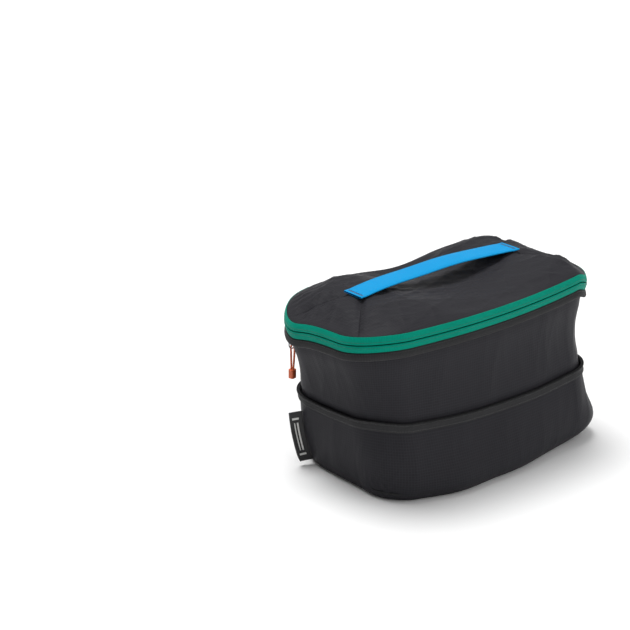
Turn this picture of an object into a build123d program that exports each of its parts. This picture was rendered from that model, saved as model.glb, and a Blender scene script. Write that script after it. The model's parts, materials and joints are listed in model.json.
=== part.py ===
from build123d import *
import os
from math import asin, cos, radians, sin, sqrt, tan

# Expandable packing cube with a compression zipper.
# Frame: +Z up, origin at the middle of the base's underside, +X along the long side,
# the long front face towards -Y, the lid's zipper pulls on the +X end.
# Units are millimetres. Soft walls are thin closed solids in their filled shape.

# ---- plan outline -------------------------------------------------------------------
length = 292.0            # end to end
end_depth = 146.0         # front to back where the ends meet the long sides
side_bow = 13.0           # how far each long side bulges at its middle
corner_radius = 50.0

# ---- heights of the bands, from the base up ------------------------------------------
lower_wall_height = 69.0
lower_tape_height = 6.0
expansion_height = 70.0   # between the two halves of the open compression zipper
upper_tape_height = 7.5
main_tape_height = 7.1
zipper_gap = 0.8          # between the two main tapes
crown_rise = 14.0         # lid seam to the top of the lid

# ---- cloth, tape and teeth -----------------------------------------------------------
fabric = 1.0
tape_proud = 0.4          # tapes stand this far outside the wall
coil_thick = 1.2          # compression teeth, outside their tape
coil_height = 2.2
main_coil_thick = 1.4     # main teeth, on the inside of their tape
main_coil_gap = 0.5
binding_thick = 1.0
binding_height = 6.0
teeth_break_half = 15.0   # half of the gap in the compression teeth, at the back
stop_width = 3.0
stop_proud = 0.4          # stops stand this far outside the teeth or tape

# ---- lid -----------------------------------------------------------------------------
shoulders = ((0.60, 8.0), (0.90, 20.0), (1.0, 36.0))   # share of crown_rise, inset from the outline
hinge_setback = 6.0       # the zipper ends this far before the back corners
dart_corner_x = 5.0       # slanted lid seams meet the rim this far inside the end
dart_corner_y = 21.0      # and this far in front of the long side's end

# ---- handle --------------------------------------------------------------------------
strap_width = 25.0
strap_thick = 1.6
strap_inset = 46.0        # sewn end of the strap to the end of the cube
strap_end_length = 7.7
strap_bow = 5.8           # the free middle stands off the lid
body_gap = 0.3            # clearance between bodies that move apart
bartack_length = 2.4
bartack_width = 20.0
bartack_thick = 0.5

# ---- zipper slider, wire pull and pull cord --------------------------------------------
slider_length = 11.0
slider_height = 9.6
slider_corner = 2.2
plate_thick = 1.4
wire = 1.6
wire_play = 1.0           # room round the wire inside the slider's arch
arch_bar = 1.2
arch_width = 3.0
ring_length = 38.0        # height of the teardrop, on the wire's centre line
ring_eye = 3.5
ring_foot = 6.0
ring_offset = 5.2         # the wire's centre line outside the wall
cord = 2.0
cord_end_out = 0.6        # middle of the cord end, outside the ring's plane
cord_end_depth = 6.0
cord_end_width = 6.6
cord_end_height = 9.0
cord_end_corner = 1.8

# The pull cord's route round the foot of the wire ring, up from the cord end, over the wire
# and back: (outwards from the ring's plane, up from the wire's lowest centre).
cord_route = [(-0.55, -22.0), (-2.25, -5.5), (-2.25, 3.4), (2.25, 3.4), (2.25, -5.5), (1.75, -22.0)]

# ---- where the sliders and the label sit -----------------------------------------------
compression_slider_angle = 102.0       # round the back left corner
compression_slider_drop = 2.0          # middle of the slider below the teeth's lower edge
front_slider_y = 20.0                  # on the straight right end
back_slider_angle = 12.0               # round the back right corner
label_angle = 150.0
label_height = 50.0
label_reach = 13.0
label_thick = 0.9
label_drop = 6.0                       # below the lower tape
label_root_gap = 0.5

# ---- derived levels --------------------------------------------------------------------
lower_tape_z = lower_wall_height
lower_tape_top = lower_tape_z + lower_tape_height
upper_tape_z = lower_tape_top + expansion_height
main_lower_z = upper_tape_z + upper_tape_height
main_lower_top = main_lower_z + main_tape_height
main_upper_z = main_lower_top + zipper_gap
lid_seam_z = main_upper_z + main_tape_height
lid_top_z = lid_seam_z + crown_rise
zipper_z = main_lower_top + zipper_gap / 2
compression_travel = expansion_height - main_coil_gap

# ---- derived plan values ---------------------------------------------------------------
half_length = length / 2
side_y = end_depth / 2 + side_bow
side_radius = (half_length**2 + side_bow**2) / (2 * side_bow)
corner_x = half_length - corner_radius
corner_y = side_y - side_radius + sqrt((side_radius - corner_radius) ** 2 - corner_x**2)
hinge_half = corner_x - hinge_setback
strap_half = half_length - strap_inset
strap_free_half = strap_half - strap_end_length - body_gap


def plan(grow):
    """The cube's outline, moved outwards by grow: straight ends, bowed sides, round corners."""
    with BuildSketch(mode=Mode.PRIVATE) as outline:
        with BuildLine():
            near = -end_depth / 2
            front = ThreePointArc((-half_length, near), (0, -side_y), (half_length, near))
            back = ThreePointArc((half_length, -near), (0, side_y), (-half_length, -near))
            Line(front @ 1, back @ 0)
            Line(back @ 1, front @ 0)
        make_face()
        fillet(outline.vertices(), corner_radius)
        if grow:
            offset(amount=grow)
    return outline.sketch


def band(outer, inner):
    """A closed strip in plan between two offsets of the outline, for use inside a sketch."""
    add(plan(outer))
    add(plan(inner), mode=Mode.SUBTRACT)


def behind(half_width, mode):
    """The part of a plan within half_width of the middle of the back, for use inside a sketch."""
    with Locations((0, side_y)):
        Rectangle(2 * half_width, side_y, mode=mode)


def back_corner(side, angle, height):
    """Plane on the wall round a back corner: x along the wall, y up, z outwards."""
    out = Vector(cos(radians(angle)), sin(radians(angle)), 0)
    origin = Vector(side * corner_x, corner_y, height) + out * corner_radius
    return Plane(origin=origin, x_dir=Vector(0, 0, 1).cross(out), z_dir=out)


def save(piece, name):
    """Names a finished piece and writes it."""
    piece.part.label = name
    export_step(piece.part, f"parts/{name}.step")


os.makedirs("parts", exist_ok=True)

# ======================================================================================
# Lower half: base, wall, lower side of the compression zipper
# ======================================================================================
with BuildPart() as base_panel:
    with BuildSketch():
        add(plan(-fabric))
    extrude(amount=fabric)
save(base_panel, "base_panel")

with BuildPart() as lower_wall:
    with BuildSketch():
        band(0, -fabric)
    extrude(amount=lower_wall_height)
save(lower_wall, "lower_wall")

# Tape that binds the seam allowances, on the inside
with BuildPart() as base_binding:
    with BuildSketch(Plane.XY.offset(fabric)):
        band(-fabric, -fabric - binding_thick)
    extrude(amount=binding_height)
save(base_binding, "base_binding")

with BuildPart() as wall_binding:
    with BuildSketch(Plane.XY.offset(lower_wall_height - binding_height)):
        band(-fabric, -fabric - binding_thick)
    extrude(amount=binding_height)
save(wall_binding, "wall_binding")

seam_tape_z = fabric + binding_height
seam_tape_height = lower_wall_height - binding_height - seam_tape_z
seam_place = back_corner(-1, label_angle, seam_tape_z + seam_tape_height / 2)
with BuildPart() as wall_seam_tape:
    with BuildSketch(Plane.XY.offset(seam_tape_z)):
        band(-fabric, -fabric - binding_thick)
    extrude(amount=seam_tape_height)
    with BuildSketch(seam_place):
        Rectangle(2 * binding_height, seam_tape_height)
    extrude(amount=-corner_radius, mode=Mode.INTERSECT)
save(wall_seam_tape, "wall_seam_tape")

with BuildPart() as compression_tape_lower:
    with BuildSketch(Plane.XY.offset(lower_tape_z)):
        band(tape_proud, -fabric)
    extrude(amount=lower_tape_height)
save(compression_tape_lower, "compression_tape_lower")


def teeth(bottom):
    """Compression teeth on the outside of their tape, with a break at the back."""
    with BuildPart(mode=Mode.PRIVATE) as row:
        with BuildSketch(Plane.XY.offset(bottom)):
            band(tape_proud + coil_thick, tape_proud)
            behind(teeth_break_half, Mode.SUBTRACT)
        extrude(amount=coil_height)
    return row


def teeth_stops(bottom):
    """Two crimped stops, one at each end of the compression teeth."""
    with BuildPart(mode=Mode.PRIVATE) as stops:
        with BuildSketch(Plane.XY.offset(bottom)):
            band(tape_proud + coil_thick + stop_proud, tape_proud)
            behind(teeth_break_half - body_gap, Mode.INTERSECT)
            behind(teeth_break_half - body_gap - stop_width, Mode.SUBTRACT)
        extrude(amount=coil_height)
    return stops


compression_coil_lower = teeth(lower_tape_top - coil_height)
save(compression_coil_lower, "compression_coil_lower")
compression_stops_lower = teeth_stops(lower_tape_top - coil_height)
save(compression_stops_lower, "compression_stops_lower")

# Folded cloth between the two halves of the compression zipper
with BuildPart() as expansion_gusset:
    with BuildSketch(Plane.XY.offset(lower_tape_z)):
        band(-fabric, -2 * fabric)
    extrude(amount=main_lower_z - lower_tape_z)
save(expansion_gusset, "expansion_gusset")

# Label sewn upright into the wall's seam
label_place = back_corner(-1, label_angle, lower_wall_height - label_drop - label_height / 2)
with BuildPart() as side_label:
    with BuildSketch(label_place.offset(label_root_gap)):
        Rectangle(label_thick, label_height)
    extrude(amount=label_reach)
save(side_label, "side_label")

# ======================================================================================
# Rim: upper side of the compression zipper, lower side of the main zipper
# ======================================================================================
with BuildPart() as compression_tape_upper:
    with BuildSketch(Plane.XY.offset(upper_tape_z)):
        band(tape_proud, -fabric)
    extrude(amount=upper_tape_height)
save(compression_tape_upper, "compression_tape_upper")

compression_coil_upper = teeth(upper_tape_z)
save(compression_coil_upper, "compression_coil_upper")
compression_stops_upper = teeth_stops(upper_tape_z)
save(compression_stops_upper, "compression_stops_upper")

with BuildPart() as rim_binding:
    with BuildSketch(Plane.XY.offset(main_lower_z - binding_height)):
        band(-2 * fabric, -2 * fabric - binding_thick)
    extrude(amount=binding_height)
save(rim_binding, "rim_binding")

with BuildPart() as main_tape_lower:
    with BuildSketch(Plane.XY.offset(main_lower_z)):
        band(tape_proud, -fabric)
        behind(hinge_half, Mode.SUBTRACT)
    extrude(amount=main_tape_height)
save(main_tape_lower, "main_tape_lower")

with BuildPart() as main_coil_lower:
    with BuildSketch(Plane.XY.offset(zipper_z - main_coil_gap / 2)):
        band(-fabric, -fabric - main_coil_thick)
        behind(hinge_half, Mode.SUBTRACT)
    extrude(amount=-coil_height)
save(main_coil_lower, "main_coil_lower")

# Cloth hinge across the back, where the zipper stops
with BuildPart() as hinge_panel:
    with BuildSketch(Plane.XY.offset(main_lower_z)):
        band(0, -fabric)
        behind(hinge_half, Mode.INTERSECT)
    extrude(amount=main_tape_height)
save(hinge_panel, "hinge_panel")

with BuildPart() as zipper_ends:
    with BuildSketch(Plane.XY.offset(main_lower_top - coil_height)):
        band(tape_proud + stop_proud, tape_proud)
        behind(hinge_half + stop_width, Mode.INTERSECT)
        behind(hinge_half, Mode.SUBTRACT)
    extrude(amount=coil_height)
save(zipper_ends, "zipper_ends")

# ======================================================================================
# Lid
# ======================================================================================


def crown(inset):
    """Solid under the lid's crown, inset from its outer face by one layer of cloth or none."""
    with BuildPart(mode=Mode.PRIVATE) as dome:
        with BuildSketch(Plane.XY.offset(lid_seam_z)):
            add(plan(-inset))
        for share, shoulder in shoulders:
            with BuildSketch(Plane.XY.offset(lid_seam_z + share * crown_rise - inset)):
                add(plan(-shoulder - inset / 2))
        loft(ruled=True)
    return dome.part


def end_trapezoid(side):
    """Plan of a lid end panel: narrow at the strap's end, wide at the rim."""
    wide_y = end_depth / 2 - dart_corner_y
    reach = (half_length - strap_half + tape_proud) / (half_length - dart_corner_x - strap_half)
    outer_y = strap_width / 2 + (wide_y - strap_width / 2) * reach
    Polygon(
        (side * strap_half, strap_width / 2),
        (side * (half_length + tape_proud), outer_y),
        (side * (half_length + tape_proud), -outer_y),
        (side * strap_half, -strap_width / 2),
        align=None,
    )


with BuildPart() as lid_panel:
    add(crown(0))
    add(crown(fabric), mode=Mode.SUBTRACT)
    with BuildSketch(Plane.XY.offset(lid_seam_z)):
        end_trapezoid(1)
        end_trapezoid(-1)
    extrude(amount=crown_rise, mode=Mode.SUBTRACT)
    with BuildSketch(Plane.XY.offset(main_upper_z)):
        band(0, -fabric)
        behind(hinge_half, Mode.INTERSECT)
    extrude(amount=main_tape_height)
save(lid_panel, "lid_panel")

for side, name in ((-1, "lid_end_left"), (1, "lid_end_right")):
    with BuildPart() as lid_end:
        add(crown(0))
        add(crown(fabric), mode=Mode.SUBTRACT)
        with BuildSketch(Plane.XY.offset(lid_seam_z)):
            end_trapezoid(side)
        extrude(amount=crown_rise, mode=Mode.INTERSECT)
    save(lid_end, name)

with BuildPart() as main_tape_upper:
    with BuildSketch(Plane.XY.offset(main_upper_z)):
        band(tape_proud, -fabric)
        behind(hinge_half, Mode.SUBTRACT)
    extrude(amount=main_tape_height)
save(main_tape_upper, "main_tape_upper")

with BuildPart() as main_coil_upper:
    with BuildSketch(Plane.XY.offset(zipper_z + main_coil_gap / 2)):
        band(-fabric, -fabric - main_coil_thick)
        behind(hinge_half, Mode.SUBTRACT)
    extrude(amount=coil_height)
save(main_coil_upper, "main_coil_upper")

lid_binding_z = zipper_z + main_coil_gap / 2 + coil_height
with BuildPart() as lid_binding:
    with BuildSketch(Plane.XY.offset(lid_binding_z)):
        band(-fabric, -fabric - binding_thick)
    extrude(amount=lid_seam_z - lid_binding_z)
save(lid_binding, "lid_binding")

# ======================================================================================
# Handle: one webbing strap, its two ends sewn down and its middle free
# ======================================================================================
strap_z = lid_top_z + body_gap
with BuildPart() as handle_strap:
    with BuildSketch(Plane.XZ):
        with BuildLine():
            top = strap_z + strap_thick
            ThreePointArc((-strap_free_half, strap_z), (0, strap_z + strap_bow), (strap_free_half, strap_z))
            Line((strap_free_half, strap_z), (strap_free_half, top))
            ThreePointArc((strap_free_half, top), (0, top + strap_bow), (-strap_free_half, top))
            Line((-strap_free_half, top), (-strap_free_half, strap_z))
        make_face()
    extrude(amount=strap_width / 2, both=True)
save(handle_strap, "handle_strap")

for side, word in ((-1, "left"), (1, "right")):
    with BuildPart() as handle_end:
        with BuildSketch(Plane.XY.offset(lid_top_z)):
            with Locations((side * (strap_half - strap_end_length / 2), 0)):
                Rectangle(strap_end_length, strap_width)
        extrude(amount=strap_thick)
    save(handle_end, f"handle_end_{word}")
    with BuildPart() as bartack:
        with BuildSketch(Plane.XY.offset(lid_top_z + strap_thick)):
            with Locations((side * (strap_half - strap_end_length / 2), 0)):
                Rectangle(bartack_length, bartack_width)
        extrude(amount=bartack_thick)
    save(bartack, f"handle_bartack_{word}")

# ======================================================================================
# Sliders, wire pulls and pull cords
# ======================================================================================
arch_up = wire / 2 + wire_play / 2
arch_room = wire / 2 + wire_play
ring_lean = asin((ring_foot - ring_eye) / (ring_length - ring_foot - ring_eye))


def slider_body(place, plate_floor):
    """Slider plate on the zipper's outside, with an arch that the wire pull passes under."""
    plate_top = plate_floor + plate_thick
    arch_height = ring_offset + arch_room + arch_bar - plate_top
    with BuildPart(mode=Mode.PRIVATE) as slider:
        with BuildSketch(place.offset(plate_floor)):
            RectangleRounded(slider_length, slider_height, slider_corner)
        extrude(amount=plate_thick)
        with BuildSketch(place.offset(plate_top)):
            with Locations((0, (arch_up - arch_room) / 2)):
                Rectangle(arch_width, arch_up + arch_room + 2 * arch_bar)
        extrude(amount=arch_height)
        with BuildSketch(place.offset(plate_top)):
            with Locations((0, (arch_up - arch_room) / 2)):
                Rectangle(arch_width, arch_up + arch_room)
        extrude(amount=arch_height - arch_bar, mode=Mode.SUBTRACT)
    return slider


def wire_pull(place):
    """Teardrop of wire that hangs flat beside the wall, its eye under the slider's arch."""
    eye_x = ring_eye * cos(ring_lean)
    eye_y = ring_eye * (sin(ring_lean) - 1)
    foot_x = ring_foot * cos(ring_lean)
    foot_y = ring_foot * (sin(ring_lean) + 1) - ring_length
    with BuildPart(mode=Mode.PRIVATE) as pull:
        with BuildLine(place.offset(ring_offset)) as path:
            eye = ThreePointArc((-eye_x, eye_y), (0, 0), (eye_x, eye_y))
            foot = ThreePointArc((foot_x, foot_y), (0, -ring_length), (-foot_x, foot_y))
            Line(eye @ 1, foot @ 0)
            Line(foot @ 1, eye @ 0)
        with BuildSketch(Plane(origin=eye @ 0, z_dir=eye % 0)):
            Circle(wire / 2)
        sweep(path=path.wires()[0])
    return pull


def corner_radii(points):
    """Arc radius at each corner: 0.45 of the shorter run over the tangent of half the turn."""
    radii = []
    for before, corner, after in zip(points, points[1:], points[2:]):
        run_in = Vector(*corner) - Vector(*before)
        run_out = Vector(*after) - Vector(*corner)
        half_turn = radians(run_in.get_angle(run_out)) / 2
        radii.append(0.45 * min(run_in.length, run_out.length) / tan(half_turn))
    return radii


def pull_cord(place):
    """Cord looped once round the foot of the wire pull, both legs ending in the cord end."""
    upright = Plane(origin=place.origin, x_dir=place.z_dir, z_dir=place.z_dir.cross(Vector(0, 0, 1)))
    points = [(ring_offset + out, up - ring_length) for out, up in cord_route]
    with BuildPart(mode=Mode.PRIVATE) as loop:
        with BuildLine(upright) as path:
            run = FilletPolyline(*points, radius=corner_radii(points))
        with BuildSketch(Plane(origin=run @ 0, z_dir=run % 0)):
            Circle(cord / 2)
        sweep(path=path.wires()[0])
    return loop


def cord_end_block(place):
    """Moulded end that grips both legs of the pull cord."""
    top = place.origin.Z - ring_length + cord_route[0][1]
    middle = place.origin + place.z_dir * (ring_offset + cord_end_out)
    flat = Plane(origin=Vector(middle.X, middle.Y, top), x_dir=place.z_dir, z_dir=Vector(0, 0, 1))
    with BuildPart(mode=Mode.PRIVATE) as block:
        with BuildSketch(flat):
            RectangleRounded(cord_end_depth, cord_end_width, cord_end_corner)
        extrude(amount=-cord_end_height)
        fillet(block.faces().sort_by(Axis.Z)[0].edges(), cord_end_corner / 2)
    return block


main_floor = tape_proud + body_gap
compression_floor = tape_proud + coil_thick + body_gap
end_middle = Plane(origin=(half_length, front_slider_y, zipper_z), x_dir=(0, 1, 0), z_dir=(1, 0, 0))
pull_sets = (
    ("compression", back_corner(-1, compression_slider_angle, upper_tape_z - compression_slider_drop),
     compression_floor),
    ("front", end_middle, main_floor),
    ("back", back_corner(1, back_slider_angle, zipper_z), main_floor),
)
for word, place, plate_floor in pull_sets:
    save(slider_body(place, plate_floor), f"{word}_slider")
    save(wire_pull(place), f"{word}_wire_pull")
    save(pull_cord(place), f"{word}_pull_cord")
    save(cord_end_block(place), f"{word}_cord_end")

print("pull cord radii", [round(radius, 2) for radius in corner_radii(cord_route)])
print("corner centre", round(corner_x, 3), round(corner_y, 3), "side", round(side_y, 3))
print("levels", lower_tape_top, upper_tape_z, main_lower_z, zipper_z, lid_seam_z, lid_top_z, strap_z)
print("compression travel", compression_travel)
for word, place, plate_floor in pull_sets:
    print(word, "pivot", place.origin, "wire centre", place.offset(ring_offset).origin)
print("label root", label_place.offset(label_root_gap).origin)
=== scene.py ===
import json
from math import asin, cos, pi, radians, sin, sqrt

import bpy
import numpy as np
from mathutils import Matrix, Vector


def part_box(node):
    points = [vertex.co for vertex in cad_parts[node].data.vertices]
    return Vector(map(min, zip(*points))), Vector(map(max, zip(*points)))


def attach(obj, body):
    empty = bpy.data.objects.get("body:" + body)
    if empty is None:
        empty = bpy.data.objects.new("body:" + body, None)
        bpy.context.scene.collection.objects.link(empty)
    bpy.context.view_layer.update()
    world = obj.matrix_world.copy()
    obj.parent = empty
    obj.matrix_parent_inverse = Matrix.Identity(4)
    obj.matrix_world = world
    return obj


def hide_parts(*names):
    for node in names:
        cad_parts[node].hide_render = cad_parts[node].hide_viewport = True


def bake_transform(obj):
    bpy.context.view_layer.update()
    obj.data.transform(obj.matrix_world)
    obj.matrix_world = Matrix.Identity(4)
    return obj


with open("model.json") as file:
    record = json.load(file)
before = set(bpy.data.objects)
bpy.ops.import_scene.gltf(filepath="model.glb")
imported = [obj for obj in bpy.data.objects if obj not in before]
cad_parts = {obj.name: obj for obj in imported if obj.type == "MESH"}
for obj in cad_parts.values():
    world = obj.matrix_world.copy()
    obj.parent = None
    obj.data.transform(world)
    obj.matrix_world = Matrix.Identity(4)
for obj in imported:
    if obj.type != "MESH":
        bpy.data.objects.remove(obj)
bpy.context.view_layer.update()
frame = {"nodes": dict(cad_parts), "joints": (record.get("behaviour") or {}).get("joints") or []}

# Packing cube, expanded: cloth walls with a waist, puffed lid, green zipper, blue handle.
# Metres, in the frame of the CAD model: +X along the long side, -Y the front, +Z up.
MM = 0.001

# ---- Levels and plan, from the frame ----
wall_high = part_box("lower_wall")[1]
half_length = wall_high[0]
side_y = wall_high[1]
wall_top = wall_high[2]
mid_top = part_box("compression_tape_lower")[1][2]
upper_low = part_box("compression_tape_upper")[0][2]
green_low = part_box("main_tape_lower")[0][2]
green_mid_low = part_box("main_tape_lower")[1][2]
green_mid_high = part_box("main_tape_upper")[0][2]
lid_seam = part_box("main_tape_upper")[1][2]
strap_half_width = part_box("handle_strap")[1][1]
strap_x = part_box("handle_end_right")[1][0]
hinge_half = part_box("hinge_panel")[1][0]
zipper_z = (green_mid_low + green_mid_high) / 2

side_bow = 13 * MM
corner_radius = 50 * MM
corner_x = half_length - corner_radius
side_radius = (half_length**2 + side_bow**2) / (2 * side_bow)
lean_angle = asin(corner_x / (side_radius - corner_radius))
corner_y = side_y - side_radius + (side_radius - corner_radius) * cos(lean_angle)

# ---- Camera, light and floor ----
camera_turn = radians(-39)        # azimuth, seen from the front left
camera_lift = radians(20.5)
camera_distance = 1.9
camera_focal = 113.1 * MM
camera_sensor = 36 * MM
aim = Vector((0.0, 0.0, 0.070))   # a point inside the cube
aim_right = 0.1905                # it stands right of and below the picture's middle,
aim_down = 0.1048                 # as shares of the picture's width


def make_camera():
    level = cos(camera_lift)
    back = Vector((sin(camera_turn) * level, -cos(camera_turn) * level, sin(camera_lift)))
    right = Vector((cos(camera_turn), sin(camera_turn), 0))
    up = back.cross(right)
    view_width = camera_sensor / camera_focal * camera_distance
    place = aim + back * camera_distance + (up * aim_down - right * aim_right) * view_width
    data = bpy.data.cameras.new("camera")
    data.lens = camera_focal / MM
    data.sensor_width = camera_sensor / MM
    camera = bpy.data.objects.new("camera", data)
    turn = Matrix((right, up, back)).transposed().to_4x4()
    camera.matrix_world = Matrix.Translation(place) @ turn
    bpy.context.collection.objects.link(camera)
    bpy.context.scene.camera = camera


def soft_sun(name, towards, spread, strength):
    """A wide, even light from one direction, as from a large softbox."""
    data = bpy.data.lights.new(name, "SUN")
    data.angle = radians(spread)
    data.energy = strength
    light = bpy.data.objects.new(name, data)
    light.rotation_euler = Vector(towards).to_track_quat("Z", "Y").to_euler()
    bpy.context.collection.objects.link(light)


def make_studio():
    scene = bpy.context.scene
    scene.view_settings.view_transform = "Standard"
    world = bpy.data.worlds.new("studio")
    scene.world = world
    world.use_nodes = True
    background = world.node_tree.nodes["Background"]
    background.inputs["Color"].default_value = (1, 1, 1, 1)
    nodes, links = world.node_tree.nodes, world.node_tree.links
    direction = nodes.new("ShaderNodeTexCoord")
    parts = nodes.new("ShaderNodeSeparateXYZ")
    strength = nodes.new("ShaderNodeMapRange")        # a dimmer side to the left of the cube
    strength.inputs["From Min"].default_value = -0.9
    strength.inputs["From Max"].default_value = 0.3
    strength.inputs["To Min"].default_value = 0.12
    strength.inputs["To Max"].default_value = 0.50
    links.new(direction.outputs["Generated"], parts.inputs[0])
    links.new(parts.outputs[0], strength.inputs["Value"])
    links.new(strength.outputs[0], background.inputs["Strength"])
    soft_sun("top_light", (-0.06, 0.28, 1.0), 34, 2.75)
    soft_sun("front_light", (0.35, -1.0, 0.7), 60, 0.65)
    bpy.ops.mesh.primitive_plane_add(size=400)
    floor = bpy.context.object
    floor.name = "floor"
    floor.data.materials.append(plain_material("floor_paper", (0.93, 0.93, 0.93), 0.9))


# ---- Materials ----
def plain_material(name, colour, roughness, metallic=0.0):
    material = bpy.data.materials.new(name)
    material.use_nodes = True
    shader = material.node_tree.nodes["Principled BSDF"]
    shader.inputs["Base Color"].default_value = (*colour, 1)
    shader.inputs["Roughness"].default_value = roughness
    shader.inputs["Metallic"].default_value = metallic
    return material


class Weave:
    """A Principled material whose nodes read the piece's UV map, which is in metres."""

    def __init__(self, name, roughness, sheen=0.0, metallic=0.0, use_object=False):
        self.material = bpy.data.materials.new(name)
        self.material.use_nodes = True
        self.nodes = self.material.node_tree.nodes
        self.links = self.material.node_tree.links
        self.shader = self.nodes["Principled BSDF"]
        self.shader.inputs["Roughness"].default_value = roughness
        self.shader.inputs["Metallic"].default_value = metallic
        self.shader.inputs["Sheen Weight"].default_value = sheen
        source = self.nodes.new("ShaderNodeTexCoord")
        self.coordinates = source.outputs["Object" if use_object else "UV"]
        self.height = None

    def connect(self, output, socket):
        self.links.new(output, socket)

    def number(self, operation, *values):
        node = self.nodes.new("ShaderNodeMath")
        node.operation = operation
        for index, value in enumerate(values):
            if isinstance(value, (int, float)):
                node.inputs[index].default_value = value
            else:
                self.connect(value, node.inputs[index])
        return node.outputs[0]

    def axis(self, index):
        node = self.nodes.new("ShaderNodeSeparateXYZ")
        self.connect(self.coordinates, node.inputs[0])
        return node.outputs[index]

    def ribs(self, position, pitch, sharpness=1.0):
        """0 to 1 wave along a position, one rib each pitch."""
        wave = self.number("SINE", self.number("MULTIPLY", position, 2 * pi / pitch))
        level = self.number("MULTIPLY_ADD", wave, 0.5, 0.5)
        return self.number("POWER", level, sharpness)

    def noise(self, scale, detail=2.0, stretch=(1, 1, 1)):
        spread = self.nodes.new("ShaderNodeMapping")
        spread.inputs["Scale"].default_value = stretch
        self.connect(self.coordinates, spread.inputs["Vector"])
        node = self.nodes.new("ShaderNodeTexNoise")
        node.inputs["Scale"].default_value = scale
        node.inputs["Detail"].default_value = detail
        self.connect(spread.outputs[0], node.inputs["Vector"])
        return node.outputs["Fac"]

    def colour(self, factor, low, high):
        node = self.nodes.new("ShaderNodeMix")
        node.data_type = "RGBA"
        self.connect(factor, node.inputs["Factor"])
        for socket, value in ((6, low), (7, high)):
            if isinstance(value, tuple):
                node.inputs[socket].default_value = (*value, 1)
            else:
                self.connect(value, node.inputs[socket])
        return node.outputs[2]

    def paint(self, output):
        self.connect(output, self.shader.inputs["Base Color"])

    def rough(self, factor, low, high):
        node = self.nodes.new("ShaderNodeMapRange")
        node.inputs["To Min"].default_value = low
        node.inputs["To Max"].default_value = high
        self.connect(factor, node.inputs["Value"])
        self.connect(node.outputs[0], self.shader.inputs["Roughness"])

    def bump(self, height, depth, strength=0.6):
        node = self.nodes.new("ShaderNodeBump")
        node.inputs["Distance"].default_value = depth
        node.inputs["Strength"].default_value = strength
        self.connect(height, node.inputs["Height"])
        if self.height is not None:
            self.connect(self.height, node.inputs["Normal"])
        self.height = node.outputs[0]
        self.connect(self.height, self.shader.inputs["Normal"])


def ripstop_material():
    """Thin nylon with a reinforcing thread every 2.6 mm both ways and soft shine."""
    weave = Weave("ripstop", 0.5)
    weave.shader.inputs["Specular IOR Level"].default_value = 0.06
    across, along = weave.axis(0), weave.axis(1)
    threads = weave.number("MAXIMUM", weave.ribs(across, 2.6 * MM, 14), weave.ribs(along, 2.6 * MM, 14))
    fine = weave.number("MULTIPLY", weave.ribs(across, 0.55 * MM), weave.ribs(along, 0.55 * MM))
    cloud = weave.noise(14, 3)
    ground = weave.colour(cloud, (0.0200, 0.0195, 0.0228), (0.0285, 0.0278, 0.0322))
    weave.paint(weave.colour(threads, ground, (0.0320, 0.0313, 0.0362)))
    weave.rough(cloud, 0.42, 0.58)
    weave.bump(weave.noise(45, 4), 0.0007, 0.35)
    weave.bump(weave.noise(420, 3), 0.00010, 0.5)
    weave.bump(weave.number("ADD", threads, weave.number("MULTIPLY", fine, 0.35)), 0.00006, 0.6)
    return weave.material


def tape_material(name, low, high, stitch):
    """Knitted zipper tape: fine chevron rows, faintly tinted towards the stitch colour every 1.4 mm along it.
    """
    weave = Weave(name, 0.62)
    weave.shader.inputs["Specular IOR Level"].default_value = 0.05
    along, across = weave.axis(0), weave.axis(1)
    zigzag = weave.number("PINGPONG", along, 0.7 * MM)
    rows = weave.ribs(weave.number("ADD", across, zigzag), 0.75 * MM)
    columns = weave.ribs(along, 1.4 * MM)
    knit = weave.number("MULTIPLY", rows, columns)
    cloud = weave.noise(30, 3)
    mottle = weave.number("MULTIPLY_ADD", knit, 0.6, weave.number("MULTIPLY", cloud, 0.4))
    ground = weave.colour(mottle, low, high)
    weave.paint(weave.colour(weave.number("MULTIPLY", columns, 0.12), ground, stitch))
    weave.rough(knit, 0.5, 0.72)
    weave.bump(knit, 0.00016, 0.7)
    return weave.material


def webbing_material():
    """Nylon webbing: rows of small slanted picks between ribs that run along it."""
    weave = Weave("webbing", 0.5)
    weave.shader.inputs["Specular IOR Level"].default_value = 0.06
    along, across = weave.axis(0), weave.axis(1)
    ribs = weave.ribs(across, 1.55 * MM)
    slant = weave.number("ADD", along, weave.number("PINGPONG", across, 0.78 * MM))
    picks = weave.ribs(slant, 0.95 * MM)
    knit = weave.number("MULTIPLY", weave.number("MULTIPLY_ADD", ribs, 0.6, 0.4), picks)
    cloud = weave.noise(20, 2)
    ground = weave.colour(knit, (0.001, 0.25, 0.60), (0.010, 0.40, 0.80))
    weave.paint(weave.colour(weave.number("MULTIPLY", cloud, 0.25), ground, (0.02, 0.44, 0.80)))
    weave.rough(knit, 0.42, 0.6)
    weave.bump(knit, 0.00022, 0.8)
    return weave.material


def coil_material(name, colour, shade):
    weave = Weave(name, 0.34, use_object=True)
    weave.paint(weave.colour(weave.noise(220, 2), colour, shade))
    weave.rough(weave.noise(90, 2), 0.28, 0.44)
    weave.bump(weave.noise(2600, 2), 0.00003, 0.4)
    return weave.material


def binding_material():
    weave = Weave("binding_tape", 0.75)
    along, across = weave.ribs(weave.axis(0), 0.8 * MM), weave.ribs(weave.axis(1), 0.9 * MM)
    picks = weave.number("MULTIPLY", along, across)
    weave.paint(weave.colour(picks, (0.010, 0.010, 0.011), (0.030, 0.030, 0.033)))
    weave.bump(picks, 0.0001, 0.6)
    return weave.material


def metal_material(name, colour, low, high, grain):
    weave = Weave(name, 0.25, metallic=1.0, use_object=True)
    weave.paint(weave.colour(weave.noise(160, 3), colour, tuple(0.82 * c for c in colour)))
    weave.rough(weave.noise(grain, 3), low, high)
    weave.bump(weave.noise(grain * 4, 2), 0.00002, 0.35)
    return weave.material


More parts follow.
